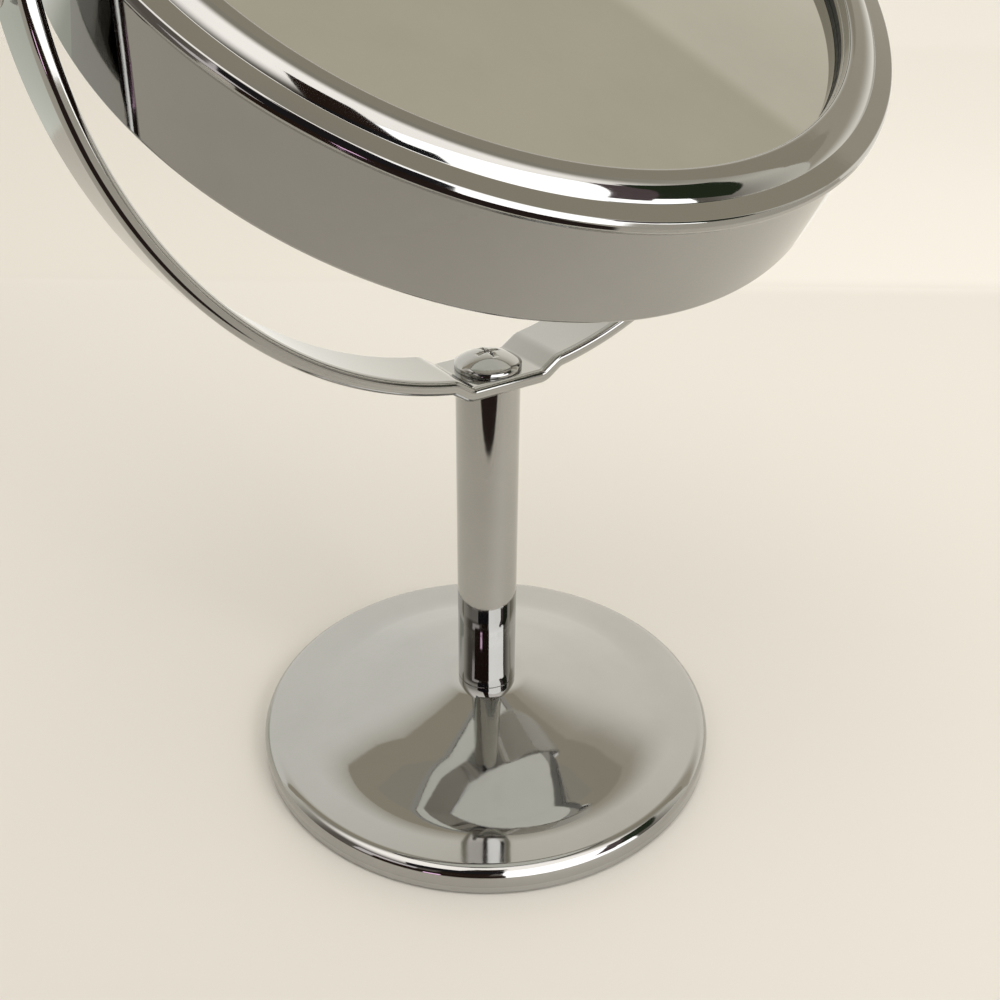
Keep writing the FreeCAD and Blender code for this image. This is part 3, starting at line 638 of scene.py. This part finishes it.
def bar_face(skin, edge_row, level, up, pivot_radius):
    """One broad face of the bar with its three holes, and the rows of points round them."""
    edge = [(travel, y) for travel, y, ahead, across in bar_loop(BAR_ROUND)]
    holes = [circle(SCREW_HOLE)]
    for sign in (1, -1):
        holes.append([(sign * travel_at(z, level), sign * y) for z, y in circle(pivot_radius)])
    flat = list(edge)
    numbers = list(edge_row)
    lines = [(i, (i + 1) % len(edge)) for i in range(len(edge))]
    rows = []
    for hole in holes:
        lines += [(len(flat) + i, len(flat) + (i + 1) % HOLE_STEPS) for i in range(HOLE_STEPS)]
        rows.append(skin.row([bent(travel, y, level) for travel, y in hole]))
        flat += hole
        numbers += rows[-1]
    for i, travel in enumerate(STATIONS):
        if all(abs(travel - sum(p[0] for p in hole) / HOLE_STEPS) > pivot_radius for hole in holes):
            lines.append((i, 2 * SIDE_STEPS + END_STEPS - i))
    spots, _, faces, origins, _, _ = delaunay_2d_cdt([Vector(p) for p in flat], lines, [], 1, 1e-7)
    for face in faces:
        middle = sum((spots[k] for k in face), Vector((0, 0))) / len(face)
        if inside(middle, edge) and not any(inside(middle, hole) for hole in holes):
            corners = [origins[k][0] for k in face[::up]]
            skin.face([(numbers[k], bent_normal(flat[k][0], 0, 0, up)) for k in corners])
    return rows


def make_bar():
    """The bar with its rounded edges, laid flat, bent along its centre line and bored."""
    skin = Skin()
    half = bar_thick / 2
    section = []
    for up in (-1, 1):
        angles = [math.pi / 2 * i / EDGE_STEPS for i in range(EDGE_STEPS + 1)][::up]
        for a in angles:
            section.append((
                BAR_ROUND * (1 - math.cos(a)), up * (half - BAR_ROUND * (1 - math.sin(a))),
                math.cos(a), up * math.sin(a)))
    rows, sides = [], []
    for inset, level, out, up in section:
        loop = bar_loop(inset)
        rows.append(skin.row([bent(travel, y, level) for travel, y, ahead, across in loop]))
        sides.append([bent_normal(travel, ahead * out, across * out, up)
                      for travel, y, ahead, across in loop])
    for index in range(len(rows) - 1):
        skin.band(rows[index], rows[index + 1], sides[index], sides[index + 1])
    bore = SHOULDER + PIVOT_PLAY
    sunk = nylon.outer + NYLON_PLAY
    outer = bar_face(skin, rows[0], -half, -1, bore)
    inner = bar_face(skin, rows[-1], half, 1, sunk)
    inwards = [Vector((-x, -y, 0)).normalized() for x, y in circle(SCREW_HOLE)]
    skin.band(inner[0], outer[0], inwards, inwards)
    for sign, face_row, far_row in ((1, inner[1], outer[1]), (-1, inner[2], outer[2])):
        seat = [skin.row([Vector((sign * nylon.high, sign * y, PIVOT.z + z))
                          for z, y in circle(radius)]) for radius in (sunk, bore)]
        inwards = [Vector((0, -sign * y, -z)).normalized() for z, y in circle(bore)]
        ahead = [Vector((-sign, 0, 0))] * HOLE_STEPS
        skin.band(face_row, seat[0], inwards, inwards)
        skin.band(seat[0], seat[1], ahead, ahead)
        skin.band(seat[1], far_row, inwards, inwards)
    return skin.build("bar")


dress(make_bar(), "chrome", "stand", "yoke")


def make_truss():
    """Domed screw with a cross recess, down through the seat into the post."""
    seat = post.high + bar_thick
    edge = seat + TRUSS_EDGE
    rise = truss.high - edge
    piece = lathe("truss", [
        corner(0, truss.low),
        corner(THREAD, truss.low, BLUNT_EDGE),
        corner(THREAD, seat),
        corner(truss.outer, seat, FINE_EDGE),
        corner(truss.outer, edge),
        arc(0, truss.high - ball_of(rise, truss.outer)),
        corner(0, truss.high),
    ], steps=SMALL_RING)
    place = Matrix.Translation((0, 0, truss.high))
    cut(piece, [block(size, place) for size in (
        (DRIVE_LENGTH, DRIVE_WIDTH, 2 * DRIVE_DEPTH),
        (DRIVE_WIDTH, DRIVE_LENGTH, 2 * DRIVE_DEPTH))])
    return piece


dress(make_truss(), "chrome", "stand", "yoke_screw")

# ---------------------------------------------------------------- the head

mouth = front_glass.outer + DRUM_MARGIN
band_level = bezel.high - BEAD_RADIUS
silver = front_glass.high - SILVER_DEPTH
flange_top = band_level - SHEET
flange_under = flange_top - SHEET
curl_bore = bezel.outer - SHEET

# The drum wears the darker chrome, painted shade for the shaded table it reflects.
dress(lathe("drum", [
    corner(drum.inner, drum.low, SOFT_EDGE),
    corner(mouth + DRUM_FLARE, drum.low, DRUM_ROUND),
    corner(mouth, flange_under),
    corner(curl_bore - CLEAR, flange_under),
    corner(curl_bore - CLEAR, flange_top),
    corner(mouth - SHEET, flange_top),
    corner(mouth + DRUM_FLARE - SHEET, drum.low + SHEET),
    corner(drum.inner, drum.low + SHEET, SOFT_EDGE),
], HEAD), "chrome", "mirror_head", "drum_housing", coat=SHADED_DRUM_CHROME)


def make_bezel():
    """Front ring: a lip round the glass, a bead that rolls down to a flat band, and the curl."""
    top = band_level + BEAD_RISE
    bead_edge = front_glass.outer + BEAD_OFFSET + BEAD_RADIUS
    drop = BEAD_ROUND - BEAD_RISE
    centre = Vector((bead_edge - math.sqrt(BEAD_ROUND ** 2 - drop ** 2), top - BEAD_ROUND))
    foot_reach = math.sqrt((BEAD_ROUND + BEAD_FOOT) ** 2 - (drop + BEAD_FOOT) ** 2)
    foot_arc = Vector((centre.x + foot_reach, band_level + BEAD_FOOT))
    touch = centre + (foot_arc - centre).normalized() * BEAD_ROUND
    wall = bezel.inner + LIP_LEDGE
    return lathe("bezel", [
        corner(bezel.inner, front_glass.high),
        corner(bezel.inner, band_level - LIP_DROP, LIP_ROUND),
        corner(wall, band_level - LIP_DROP),
        corner(wall, top, BEAD_SHOULDER),
        corner(centre.x, top),
        arc(*centre, clockwise=True),
        corner(*touch),
        arc(*foot_arc),
        corner(foot_arc.x, band_level),
        corner(bezel.outer - CURL_LEAN, band_level, EDGE_ROUND),
        corner(bezel.outer - CURL_LEAN / 3, band_level - CURL_DROP / 2, CURL_ROUND),
        corner(bezel.outer, band_level - CURL_DROP, EDGE_ROUND),
        corner(bezel.outer - CURL_LEAN, bezel.low, EDGE_ROUND),
        corner(mouth + CLEAR, bezel.low),
        corner(mouth + CLEAR, flange_under),
        corner(curl_bore, flange_under),
        corner(curl_bore, flange_top),
        corner(bead_edge - SHEET, flange_top),
        corner(centre.x, top - SHEET),
        corner(wall + SHEET, top - SHEET),
        corner(front_glass.outer + 2 * CLEAR, flange_top),
        corner(front_glass.outer + 2 * CLEAR, front_glass.high),
    ], HEAD)


dress(make_bezel(), "chrome", "mirror_head", "front_bezel")

dress(lathe("glass", [
    corner(0, front_glass.low),
    corner(front_glass.outer, front_glass.low),
    corner(front_glass.outer, silver - GLASS_BEVEL),
    corner(front_glass.outer - GLASS_BEVEL, silver),
    corner(0, silver),
], HEAD), "mirror_glass", "mirror_head", "front_glass")

# A near-black ring round the glass's edge under the bezel's lip: painted shade.
dress(lathe("glass_margin_shade", [
    corner(bezel.inner + CLEAR, silver + CLEAR),
    corner(front_glass.outer, silver + CLEAR),
    corner(front_glass.outer, front_glass.high - CLEAR),
    corner(bezel.inner + CLEAR, front_glass.high - CLEAR),
], HEAD), "mirror_glass", "mirror_head", "front_glass", coat=MARGIN)

dish_ball = ball_of(DISH_SAG, rear_glass.outer)
dress(lathe("magnifier", [
    corner(0, rear_glass.low + DISH_SAG),
    arc(0, rear_glass.low + DISH_SAG - dish_ball, clockwise=True),
    corner(rear_glass.outer, rear_glass.low),
    corner(rear_glass.outer, rear_glass.high - DISH_SAG),
    arc(0, rear_glass.high - dish_ball),
    corner(0, rear_glass.high),
], HEAD), "mirror_glass", "mirror_head", "rear_glass")

# ---------------------------------------------------------------- the pivots


for side in ("right", "left"):
    leaning = side_place(side, True)
    upright = side_place(side, False)
    edge = knob.high - KNOB_DOME
    seat = edge - KNOB_EDGE
    screw = lathe(f"knob_{side}", [
        corner(0, knob.low),
        corner(STUD, knob.low),
        corner(STUD, bush.low),
        corner(SHOULDER, bush.low),
        corner(SHOULDER, seat),
        corner(knob.outer, seat, SOFT_EDGE),
        corner(knob.outer, edge),
        arc(0, knob.high - ball_of(KNOB_DOME, knob.outer)),
        corner(0, knob.high),
    ], leaning, SMALL_RING)
    top = leaning @ Matrix.Translation((0, 0, knob.high))
    cut(screw, [block((SLOT_WIDTH, 3 * knob.outer, 2 * SLOT_DEPTH), top)])
    dress(screw, "chrome", "mirror_head", f"pivot_screw_{side}")
    dress(tube(f"bush_{side}", bush.outer, SHOULDER + PIVOT_PLAY, bush.low, bush.high, leaning),
          "plain_steel", "mirror_head", f"pivot_bush_{side}")
    dress(tube(f"nylon_{side}", nylon.outer, nylon.inner, nylon.low, nylon.high, upright,
               edge=HAIR_EDGE),
          "nylon", "stand", f"nylon_washer_{side}")
    dress(tube(f"wave_{side}", wave.outer, wave.inner, wave.low, wave.high, upright,
               edge=HAIR_EDGE),
          "plain_steel", "stand", f"wave_washer_{side}")

# ---------------------------------------------------------------- hidden pieces and foam

# Inside the mirror, so they stay as the CAD made them and only get a finish.
KEPT = {
    "foot_weight": "cast_weight", "foot_screw": "plain_steel", "foot_washer": "plain_steel",
    "foot_spring_washer": "plain_steel", "lower_insert": "plain_steel",
    "upper_insert": "plain_steel", "core_spacer": "nylon",
    "pivot_nut_left": "plain_steel", "pivot_nut_right": "plain_steel",
}
for name, slot in KEPT.items():
    held = frame["nodes"][name]
    held.data.materials.clear()
    held.data.materials.append(COATS[slot])

for name, ring in (("front_foam_ring", front_foam), ("rear_foam_ring", rear_foam)):
    foam = dress(lathe(name.replace("_ring", ""), [
        corner(ring.inner, ring.low),
        corner(ring.outer, ring.low, SOFT_EDGE),
        corner(ring.outer, ring.high, SOFT_EDGE),
        corner(ring.inner, ring.high, SOFT_EDGE),
    ], HEAD), "foam", "mirror_head", name)

# ---------------------------------------------------------------- floor, light, camera (metres)

VIEW_AZIMUTH = math.radians(35.26)
VIEW_DROP = math.radians(29.782)
VIEW_ROLL = math.radians(0.6253)
EYE = (-0.11413, -0.16604, 0.17590)
SENSOR_WIDTH = 36
LENS = 39.585
FLOOR_HALF = 4
LINE_NEAR = 0.305
LINE_FAR = 0.335
TABLE_TONE = (0.755, 0.73, 0.678)
WALL_TONE = (0.895, 0.865, 0.81)
WALL_TONE_LEFT = (0.79, 0.762, 0.705)
WALL_SLANT = 0.25
WALL_LEFT_GLOW = (1.0, 0.985, 0.91)
DARK_CLOTHES = (0.03, 0.017, 0.012)
DARK_SLEEVE = (0.03, 0.02, 0.017)


def flat_card(name, centre, facing, width, height, material, shades=False, roll=0.0):
    """A card that faces a point, seen only in reflections; one that shades also dims the floor."""
    away = (Vector(facing) - Vector(centre)).normalized()
    turn = away.to_track_quat("Z", "Y").to_matrix().to_4x4()
    turn = turn @ Matrix.Rotation(math.radians(roll), 4, "Z")
    mesh = bpy.data.meshes.new(name)
    mesh.from_pydata([(-width / 2, -height / 2, 0), (width / 2, -height / 2, 0),
                      (width / 2, height / 2, 0), (-width / 2, height / 2, 0)], [], [(0, 1, 2, 3)])
    card = bpy.data.objects.new(name, mesh)
    bpy.context.scene.collection.objects.link(card)
    card.matrix_world = Matrix.Translation(centre) @ turn
    card.data.materials.append(material)
    card.visible_camera = False
    card.visible_diffuse = shades
    card.visible_shadow = shades
    return card


def glow(name, colour, strength):
    material = bpy.data.materials.new(name)
    material.use_nodes = True
    tree = material.node_tree
    tree.nodes.clear()
    emission = node(tree, "ShaderNodeEmission", Color=(*colour, 1), Strength=strength)
    output = node(tree, "ShaderNodeOutputMaterial")
    tree.links.new(emission.outputs[0], output.inputs["Surface"])
    return material


def ramp_between(tree, source, low, high):
    """How far a value has come from low to high, eased at both ends."""
    ranged = node(tree, "ShaderNodeMapRange", interpolation_type="SMOOTHSTEP")
    ranged.inputs["From Min"].default_value = low
    ranged.inputs["From Max"].default_value = high
    tree.links.new(source, ranged.inputs["Value"])
    return ranged.outputs["Result"]


def blend(tree, amount, first, second):
    """Mix two colours, of which each is a colour or the output of a node."""
    mix = node(tree, "ShaderNodeMix", data_type="RGBA")
    tree.links.new(amount, mix.inputs[0])
    for socket, colour in ((mix.inputs[6], first), (mix.inputs[7], second)):
        if isinstance(colour, tuple):
            socket.default_value = (*colour, 1)
        else:
            tree.links.new(colour, socket)
    return mix.outputs[2]


def spot(name, colour, middle, gone, full):
    """A colour that fades with the distance from a point of its card, from gone to full."""
    material = glow(name, colour, 1.0)
    tree = material.node_tree
    where = node(tree, "ShaderNodeTexCoord")
    away = node(tree, "ShaderNodeVectorMath", operation="DISTANCE")
    away.inputs[1].default_value = (*middle, 0)
    tree.links.new(where.outputs["Object"], away.inputs[0])
    clear = node(tree, "ShaderNodeBsdfTransparent")
    mix = node(tree, "ShaderNodeMixShader")
    tree.links.new(ramp_between(tree, away.outputs["Value"], gone, full), mix.inputs[0])
    tree.links.new(clear.outputs[0], mix.inputs[1])
    tree.links.new(tree.nodes["Emission"].outputs[0], mix.inputs[2])
    output = [each for each in tree.nodes if each.type == "OUTPUT_MATERIAL"][0]
    tree.links.new(mix.outputs[0], output.inputs["Surface"])
    return material


def table_card(name, middle, height, size, material):
    """A card that lies on the table, squared to the view and seen only in reflections."""
    card = flat_card(name, (0, 0, 0), (0, 0, 1), *size, material)
    place = Matrix.Translation((*middle, height))
    card.matrix_world = Matrix.Rotation(-VIEW_AZIMUTH, 4, "Z") @ place


def wall_glow():
    """The wall as the chrome sees it: greyer at the left of its foot and towards its top."""
    material = glow("wall", (1, 1, 1), 1.0)
    tree = material.node_tree
    where = node(tree, "ShaderNodeTexCoord")
    apart = node(tree, "ShaderNodeSeparateXYZ")
    tree.links.new(where.outputs["Object"], apart.inputs["Vector"])
    slanted = node(tree, "ShaderNodeMath", operation="MULTIPLY_ADD")
    slanted.inputs[1].default_value = WALL_SLANT
    tree.links.new(apart.outputs["X"], slanted.inputs[0])
    tree.links.new(apart.outputs["Y"], slanted.inputs[2])
    sideways, height, lean = apart.outputs["X"], apart.outputs["Y"], slanted.outputs[0]
    tone = blend(tree, ramp_between(tree, height, -0.42, -0.35), (0.56, 0.58, 0.5), WALL_LEFT_GLOW)
    tone = blend(tree, ramp_between(tree, sideways, -0.5, -0.2), tone, WALL_LEFT_GLOW)
    tone = blend(tree, ramp_between(tree, sideways, -0.12, 0.08), tone, (1.09, 1.04, 0.94))
    tone = blend(tree, ramp_between(tree, lean, -0.23, 0.13), tone, (0.55, 0.505, 0.41))
    tone = blend(tree, ramp_between(tree, height, 0.088, 0.106), tone, (0.45, 0.41, 0.32))
    tree.links.new(tone, tree.nodes["Emission"].inputs["Color"])
    return material


def floor_material():
    """Pale tabletop, with a lighter tone beyond a soft line behind the mirror."""
    material, tree, shader = new_material("floor")
    shader.inputs["Roughness"].default_value = 0.55
    where = node(tree, "ShaderNodeTexCoord")
    turned = node(tree, "ShaderNodeMapping", vector_type="POINT")
    turned.inputs["Rotation"].default_value = (0, 0, VIEW_AZIMUTH)
    apart = node(tree, "ShaderNodeSeparateXYZ")
    tree.links.new(where.outputs["Object"], turned.inputs["Vector"])
    tree.links.new(turned.outputs["Vector"], apart.inputs["Vector"])
    far = blend(tree, ramp_between(tree, apart.outputs["X"], -0.15, 0.2), WALL_TONE_LEFT, WALL_TONE)
    beyond = ramp_between(tree, apart.outputs["Y"], LINE_NEAR, LINE_FAR)
    tree.links.new(blend(tree, beyond, TABLE_TONE, far), shader.inputs["Base Color"])
    return material


mesh = bpy.data.meshes.new("floor")
floor_signs = ((-1, -1), (1, -1), (1, 1), (-1, 1))
mesh.from_pydata([(x * FLOOR_HALF, y * FLOOR_HALF, 0) for x, y in floor_signs],
                 [], [(0, 1, 2, 3)])
floor = bpy.data.objects.new("floor", mesh)
bpy.context.scene.collection.objects.link(floor)
mesh.materials.append(floor_material())

# The camera was fitted to the outlines of the foot, the post, the yoke and the head's rim.
heading = Vector((math.sin(VIEW_AZIMUTH), math.cos(VIEW_AZIMUTH), 0))
ahead = heading * math.cos(VIEW_DROP) - Vector((0, 0, math.sin(VIEW_DROP)))
level_right = Vector((math.cos(VIEW_AZIMUTH), -math.sin(VIEW_AZIMUTH), 0))
level_up = level_right.cross(ahead)
right = level_right * math.cos(VIEW_ROLL) + level_up * math.sin(VIEW_ROLL)
up = level_up * math.cos(VIEW_ROLL) - level_right * math.sin(VIEW_ROLL)
camera_data = bpy.data.cameras.new("camera")
camera_data.sensor_width = SENSOR_WIDTH
camera_data.lens = LENS
camera_data.clip_start = 0.01
camera = bpy.data.objects.new("camera", camera_data)
bpy.context.scene.collection.objects.link(camera)
eye = Vector(EYE)
camera.matrix_world = Matrix.Translation(eye) @ Matrix((right, up, -ahead)).transposed().to_4x4()
bpy.context.scene.camera = camera


def world_light():
    """Soft room: pale in front of the viewer, dim behind, with a greyer ceiling above it."""
    world = bpy.data.worlds.new("room")
    bpy.context.scene.world = world
    world.use_nodes = True
    tree = world.node_tree
    background = tree.nodes["Background"]
    where = node(tree, "ShaderNodeTexCoord")
    facing = node(tree, "ShaderNodeVectorMath", operation="DOT_PRODUCT")
    facing.inputs[1].default_value = heading
    apart = node(tree, "ShaderNodeSeparateXYZ")
    tree.links.new(where.outputs["Generated"], facing.inputs[0])
    tree.links.new(where.outputs["Generated"], apart.inputs["Vector"])
    around = blend(tree, ramp_between(tree, facing.outputs["Value"], -0.35, 0.25),
                   (0.17, 0.15, 0.13), (0.86, 0.83, 0.74))
    ceiling = blend(tree, ramp_between(tree, facing.outputs["Value"], -0.12, 0.2),
                    (1.85, 1.78, 1.7), (0.42, 0.39, 0.32))
    room = blend(tree, ramp_between(tree, apart.outputs["Z"], 0.5, 0.85), around, ceiling)
    tree.links.new(room, background.inputs["Color"])
    background.inputs["Strength"].default_value = 1.0


def area_light(name, place, aim, width, height, colour, power):
    light = bpy.data.lights.new(name, "AREA")
    light.shape = "RECTANGLE"
    light.size = width
    light.size_y = height
    light.color = colour
    light.energy = power
    lamp = bpy.data.objects.new(name, light)
    bpy.context.scene.collection.objects.link(lamp)
    turn = (Vector(aim) - Vector(place)).to_track_quat("-Z", "Y").to_matrix().to_4x4()
    lamp.matrix_world = Matrix.Translation(place) @ turn
    return lamp


def from_post(turn, lift, distance, height=0.0):
    """A point seen from the post at an angle right of the view, an angle up, and a distance."""
    angle = VIEW_AZIMUTH + math.radians(turn)
    rise = math.radians(lift)
    flat = distance * math.cos(rise)
    level = height + distance * math.sin(rise)
    return Vector((math.sin(angle) * flat, math.cos(angle) * flat, level))


def dome_light(name, colour, strength):
    """Even light from above for the floor, unseen in the chrome."""
    light = bpy.data.lights.new(name, "SUN")
    light.angle = math.radians(160)
    light.color = colour
    light.energy = strength
    lamp = bpy.data.objects.new(name, light)
    bpy.context.scene.collection.objects.link(lamp)
    lamp.visible_glossy = False


world_light()
window = area_light("window", from_post(135, 36, 1.2), aim=(0, 0, 0.1), width=0.5, height=0.45,
                    colour=(1.0, 0.98, 0.95), power=3.5)
window.visible_glossy = False
dome_light("fill", colour=(1.0, 0.975, 0.94), strength=0.35)

# What the chrome sees of the room. Each row: name, angle right of the view, distance from the
# post, height of the middle, width, height, colour, strength, and roll in degrees.
flat_card("wall_card", from_post(0, 0, 0.32, 0.5), from_post(0, 0, 0, 0.5), 3.0, 1.0, wall_glow())
ROOM_CARDS = (
    ("window_card", 142, 1.0, 0.7, 1.15, 1.4, (1.0, 1.0, 1.0), 2.6, 0),
    ("curtain_card", 101, 0.95, 0.72, 0.35, 0.88, (0.03, 0.04, 0.022), 1.0, 25),
    ("frame_card", 116, 0.94, 0.72, 0.17, 0.88, (0.135, 0.1, 0.105), 1.0, 25),
    ("face_card", -178, 0.5, 0.64, 0.2, 0.94, DARK_CLOTHES, 1.0, 8),
    ("chest_card", -161, 0.5, 0.085, 0.53, 0.17, DARK_CLOTHES, 1.0, 0),
    ("room_card", -137, 1.0, 0.36, 0.5, 0.36, (0.9, 0.84, 0.85), 1.0, 0),
    ("glint_card", -159.3, 0.48, 0.035, 0.06, 0.05, (1.9, 1.2, 1.75), 1.0, 0),
)
for name, turn, distance, level, width, height, colour, strength, roll in ROOM_CARDS:
    flat_card(name, from_post(turn, 0, distance, level), from_post(turn, 0, 0, level),
              width, height, glow(name, colour, strength), roll=roll)

# The phone round the lens, the only card that also dims the table.
flat_card("phone_card", eye - ahead * 0.03 - right * 0.06, eye + ahead, 0.19, 0.1,
          glow("phone_card", (0.02, 0.018, 0.02), 1.0), shades=True)

# What the chrome sees lying on the table. Each row: name, middle right and ahead of the post,
# height, size, colour, middle of the spot on the card, and the distances from it at which the
# colour is gone and full.
# shade_card is painted shade: the shadow of the phone and hands on the table, seen only in the
# chrome.
TABLE_CARDS = (
    ("shade_card", (0, 0), 0.002, 2.4, (0.61, 0.565, 0.485), (0.12, 0.28), 0.24, 0.52),
    ("sleeve_card", (0.03, -0.335), 0.004, 0.42, DARK_SLEEVE, (0, 0), 0.2, 0.19),
    ("seat_card", (0, -0.85), 0.003, 1.1, DARK_SLEEVE, (0, 0), 0.5, 0.48),
)
for name, middle, level, size, colour, spot_middle, gone, full in TABLE_CARDS:
    table_card(name, middle, level, (size, size), spot(name, colour, spot_middle, gone, full))

bpy.context.scene.view_settings.view_transform = "Standard"
